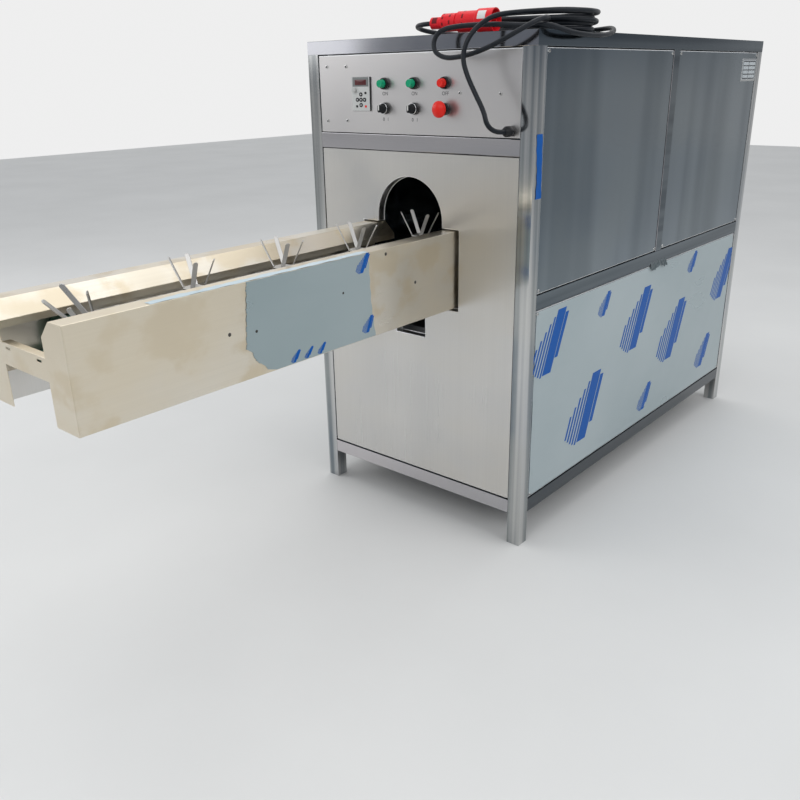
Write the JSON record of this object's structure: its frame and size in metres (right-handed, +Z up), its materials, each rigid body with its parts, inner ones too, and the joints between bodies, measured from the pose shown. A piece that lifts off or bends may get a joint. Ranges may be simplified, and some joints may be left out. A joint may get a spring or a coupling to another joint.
{
  "type": "onion peeling machine",
  "caption": "Floor-standing stainless onion peeler: cabinet on four legs, long infeed conveyor with four-finger holders, arched inlet, control panel and coiled power cord.",
  "frame": {"origin": "middle of the whole footprint, cabinet and conveyor together, on the floor", "axes": "+Z up, +Y from the conveyor's free end to the cabinet's rear, +X to the machine's right as seen from the operator's end"},
  "size_m": [0.7964, 2.588, 1.3923],
  "materials": {
    "frame_steel": "polished stainless tube",
    "panel_steel": "brushed stainless sheet",
    "cover_steel": "bare stainless sheet, some with blue film",
    "screws": "stainless screws",
    "inner_steel": "stainless",
    "chain_steel": "stainless chain",
    "holder_steel": "stainless holders",
    "guide_plastic": "white wear strip",
    "bearing_iron": "painted cast housing",
    "gear_case": "cast case",
    "motor_paint": "painted motor",
    "blade_steel": "ground blade",
    "air_parts": "anodised",
    "press_parts": "white food-grade cup",
    "device_black": "black plastic",
    "bezel_chrome": "bright bezel",
    "button_green": "green cap",
    "button_red": "red cap",
    "stem_grey": "dark stem",
    "gland_black": "black nylon",
    "cord_rubber": "black rubber cord",
    "plug_red": "red plug"
  },
  "bodies": {
    "machine": {"corner_posts": "frame_steel", "top_rails": "frame_steel", "middle_rails": "frame_steel", "bottom_rails": "frame_steel", "panel_stops": "frame_steel", "top_cover": "panel_steel", "control_panel": "panel_steel", "front_panel": "panel_steel", "right_front_panel": "panel_steel", "right_rear_panel": "panel_steel", "right_lower_panel": "panel_steel", "left_front_panel": "panel_steel", "left_rear_panel": "panel_steel", "left_lower_panel": "panel_steel", "rear_upper_panel": "panel_steel", "rear_lower_panel": "panel_steel", "right_side_cover": "cover_steel", "left_side_cover": "cover_steel", "conveyor_end_plate": "cover_steel", "panel_screws": "screws", "conveyor_arms": "inner_steel", "arm_ties": "inner_steel", "station_hangers": "inner_steel", "discharge_chute": "inner_steel", "waste_chute": "inner_steel", "switchgear_plate": "inner_steel", "chain_guide": "guide_plastic", "bearing_housings": "bearing_iron", "gearbox": "gear_case", "drive_motor": "motor_paint", "cutter_motor": "motor_paint", "press_cylinder": "air_parts", "air_manifold": "air_parts", "inverter": "device_black", "switch_bodies": "bezel_chrome", "cable_gland": "gland_black", "power_cord": "cord_rubber", "cord_coil": "cord_rubber", "plug_cord": "cord_rubber", "power_plug": "plug_red"},
    "tail_wheel": {"tail_shaft": "inner_steel", "tail_sprocket": "inner_steel", "tail_chain": "chain_steel"},
    "drive_wheel": {"drive_shaft": "inner_steel", "drive_sprocket": "inner_steel", "drive_chain": "chain_steel"},
    "upper_run": {"upper_chain": "chain_steel", "upper_holders": "holder_steel"},
    "lower_run": {"lower_chain": "chain_steel", "lower_holders": "holder_steel"},
    "blade": {"cutter_blade": "blade_steel"},
    "press": {"press_head": "press_parts"},
    "knob": {"keypad_knob": "device_black"},
    "start_1": {"start_button_1": "button_green"},
    "start_2": {"start_button_2": "button_green"},
    "stop": {"stop_button": "button_red"},
    "select_1": {"selector_1": "device_black"},
    "select_2": {"selector_2": "device_black"},
    "stop_stem": {"estop_stem": "stem_grey"},
    "stop_head": {"estop_mushroom": "button_red"}
  },
  "joints": [
    {"name": "drive_turn", "type": "hinge", "parent": "machine", "child": "drive_wheel", "pos_m": [-0.0135, 0.7426, 0.7652], "axis": [-1, 0, 0], "range_deg": [-30, 10]},
    {"name": "tail_turn", "type": "hinge", "parent": "machine", "child": "tail_wheel", "pos_m": [-0.0135, -1.137, 0.7652], "axis": [-1, 0, 0], "range_deg": [-30, 10]},
    {"name": "upper_run_slide", "type": "slide", "parent": "machine", "child": "upper_run", "axis": [0, 1, 0], "range_m": [-0.0254, 0.00847]},
    {"name": "lower_run_slide", "type": "slide", "parent": "machine", "child": "lower_run", "axis": [0, -1, 0], "range_m": [-0.0254, 0.00847]},
    {"name": "blade_spin", "type": "hinge", "parent": "machine", "child": "blade", "pos_m": [0.0565, 0.306, 0.925], "axis": [0, 0, 1], "continuous": true},
    {"name": "press_stroke", "type": "slide", "parent": "machine", "child": "press", "axis": [0, 0, -1], "range_m": [0, 0.08]},
    {"name": "speed_knob_turn", "type": "hinge", "parent": "machine", "child": "knob", "pos_m": [-0.195, -0.194, 1.21], "axis": [0, -1, 0], "range_deg": [-300, 0]},
    {"name": "start_press_1", "type": "slide", "parent": "machine", "child": "start_1", "axis": [0, 1, 0], "range_m": [0, 0.004], "stiffness_N_per_m": 400, "springref_m": -0.002},
    {"name": "start_press_2", "type": "slide", "parent": "machine", "child": "start_2", "axis": [0, 1, 0], "range_m": [0, 0.004], "stiffness_N_per_m": 400, "springref_m": -0.002},
    {"name": "stop_press", "type": "slide", "parent": "machine", "child": "stop", "axis": [0, 1, 0], "range_m": [0, 0.004], "stiffness_N_per_m": 400, "springref_m": -0.002},
    {"name": "selector_turn_1", "type": "hinge", "parent": "machine", "child": "select_1", "pos_m": [-0.09, -0.194, 1.1645], "axis": [0, -1, 0], "range_deg": [-90, 0]},
    {"name": "selector_turn_2", "type": "hinge", "parent": "machine", "child": "select_2", "pos_m": [0.01, -0.194, 1.1645], "axis": [0, -1, 0], "range_deg": [-90, 0]},
    {"name": "emergency_stop_press", "type": "slide", "parent": "machine", "child": "stop_stem", "axis": [0, 1, 0], "range_m": [0, 0.006]},
    {"name": "emergency_stop_twist", "type": "hinge", "parent": "stop_stem", "child": "stop_head", "pos_m": [0.11, -0.194, 1.1645], "axis": [0, -1, 0], "range_deg": [-45, 0]}
  ],
  "couplings": [
    {"joint": "tail_turn", "follows": "drive_turn", "ratio": 1},
    {"joint": "upper_run_slide", "follows": "drive_turn", "m_per_rad": 0.04851},
    {"joint": "lower_run_slide", "follows": "drive_turn", "m_per_rad": 0.04851}
  ]
}
